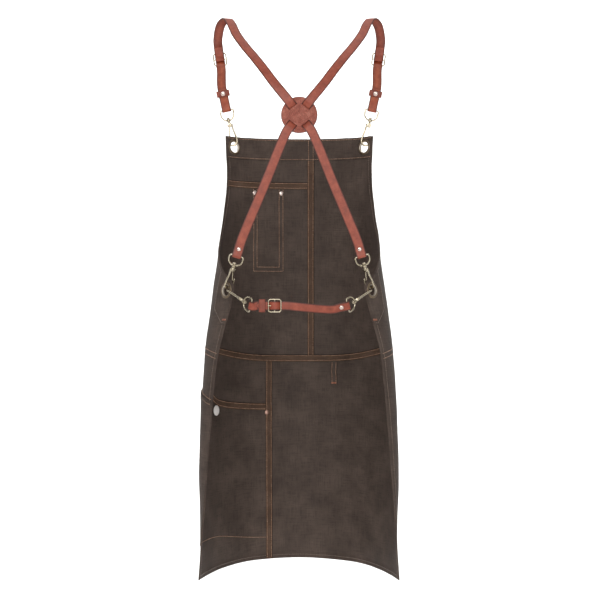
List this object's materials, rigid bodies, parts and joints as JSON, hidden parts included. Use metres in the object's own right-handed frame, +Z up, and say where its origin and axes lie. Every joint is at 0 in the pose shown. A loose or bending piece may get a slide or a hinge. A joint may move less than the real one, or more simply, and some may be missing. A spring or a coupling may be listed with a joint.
{
  "type": "bib apron",
  "caption": "Work apron of waxed canvas in its worn form, with leather straps that cross in a round back patch and clip to eyelets with snap hooks.",
  "frame": {"origin": "midway between the undersides of the two shoulder straps where they sit on the shoulders", "axes": "+Z up, +Y the way the wearer faces, +X to the wearer's right"},
  "size_m": [0.3723, 0.2774, 1.0523],
  "materials": {
    "waxed_canvas": "waxed plain weave, brown grey",
    "facing_canvas": "waxed plain weave, felled seams with tan stitching",
    "tan_leather": "smooth, burnished edges",
    "pebbled_leather": "pebbled grain",
    "pale_nickel": "polished",
    "bronzed_steel": "dark bronzed with bright worn rim",
    "rose_nickel": "polished, faintly pink",
    "pale_cap": "matt pale"
  },
  "bodies": {
    "apron": {"bib_upper_left": "waxed_canvas", "bib_lower_left": "waxed_canvas", "bib_right": "waxed_canvas", "skirt_upper_left": "waxed_canvas", "skirt_lower_left": "waxed_canvas", "skirt_right": "waxed_canvas", "top_band": "facing_canvas", "bib_seams": "facing_canvas", "waist_seam": "facing_canvas", "skirt_seams": "facing_canvas", "pen_pocket": "waxed_canvas", "hip_pocket": "waxed_canvas", "side_tab_left": "waxed_canvas", "side_tab_right": "waxed_canvas", "towel_loop": "waxed_canvas", "snap_cap": "pale_cap", "rivet_pen_left": "rose_nickel", "rivet_pen_right": "rose_nickel", "rivet_hip": "rose_nickel", "eyelet_top_left": "bronzed_steel", "eyelet_top_right": "bronzed_steel", "eyelet_side_left": "bronzed_steel", "eyelet_side_right": "bronzed_steel", "hook_top_left": "pale_nickel", "loop_top_left": "pale_nickel", "hook_lower_left": "pale_nickel", "loop_lower_left": "pale_nickel", "hook_waist_left": "pale_nickel", "loop_waist_left": "pale_nickel", "billet_left": "tan_leather", "buckle_left": "pale_nickel", "keeper_left": "tan_leather", "rivet_keeper_left": "rose_nickel", "shoulder_strap_left": "tan_leather", "rivet_lower_left": "rose_nickel", "hook_top_right": "pale_nickel", "loop_top_right": "pale_nickel", "hook_lower_right": "pale_nickel", "loop_lower_right": "pale_nickel", "hook_waist_right": "pale_nickel", "loop_waist_right": "pale_nickel", "billet_right": "tan_leather", "buckle_right": "pale_nickel", "keeper_right": "tan_leather", "rivet_keeper_right": "rose_nickel", "shoulder_strap_right": "tan_leather", "rivet_lower_right": "rose_nickel", "back_patch": "pebbled_leather", "waist_strap": "tan_leather", "waist_carrier": "tan_leather", "buckle_waist": "pale_nickel", "keeper_waist": "tan_leather", "rivet_waist": "rose_nickel"},
    "gate_top_left": {"gate_top_left": "pale_nickel"},
    "gate_lower_left": {"gate_lower_left": "pale_nickel"},
    "gate_waist_left": {"gate_waist_left": "pale_nickel"},
    "gate_top_right": {"gate_top_right": "pale_nickel"},
    "gate_lower_right": {"gate_lower_right": "pale_nickel"},
    "gate_waist_right": {"gate_waist_right": "pale_nickel"}
  },
  "joints": [
    {"name": "gate_top_left_hinge", "type": "hinge", "parent": "apron", "child": "gate_top_left", "pos_m": [-0.13726, 0.06737, -0.19298], "axis": [0.0228, -0.9994, 0.025], "range_deg": [0, 4], "stiffness_Nm_per_rad": 0.02, "springref_deg": -45.84},
    {"name": "gate_lower_left_hinge", "type": "hinge", "parent": "apron", "child": "gate_lower_left", "pos_m": [-0.12196, -0.11843, -0.4808], "axis": [-0.4969, 0.6479, 0.5773], "range_deg": [0, 18], "stiffness_Nm_per_rad": 0.02, "springref_deg": -45.84},
    {"name": "gate_waist_left_hinge", "type": "hinge", "parent": "apron", "child": "gate_waist_left", "pos_m": [-0.10672, -0.12778, -0.53626], "axis": [0.5786, 0.0652, 0.813], "range_deg": [0, 18], "stiffness_Nm_per_rad": 0.02, "springref_deg": -45.84},
    {"name": "gate_top_right_hinge", "type": "hinge", "parent": "apron", "child": "gate_top_right", "pos_m": [0.13726, 0.06737, -0.19298], "axis": [0.0228, 0.9994, -0.025], "range_deg": [0, 4], "stiffness_Nm_per_rad": 0.02, "springref_deg": -45.84},
    {"name": "gate_lower_right_hinge", "type": "hinge", "parent": "apron", "child": "gate_lower_right", "pos_m": [0.12196, -0.11843, -0.4808], "axis": [-0.4969, -0.6479, -0.5773], "range_deg": [0, 18], "stiffness_Nm_per_rad": 0.02, "springref_deg": -45.84},
    {"name": "gate_waist_right_hinge", "type": "hinge", "parent": "apron", "child": "gate_waist_right", "pos_m": [0.10672, -0.12778, -0.53626], "axis": [0.5786, -0.0652, -0.813], "range_deg": [0, 18], "stiffness_Nm_per_rad": 0.02, "springref_deg": -45.84}
  ]
}
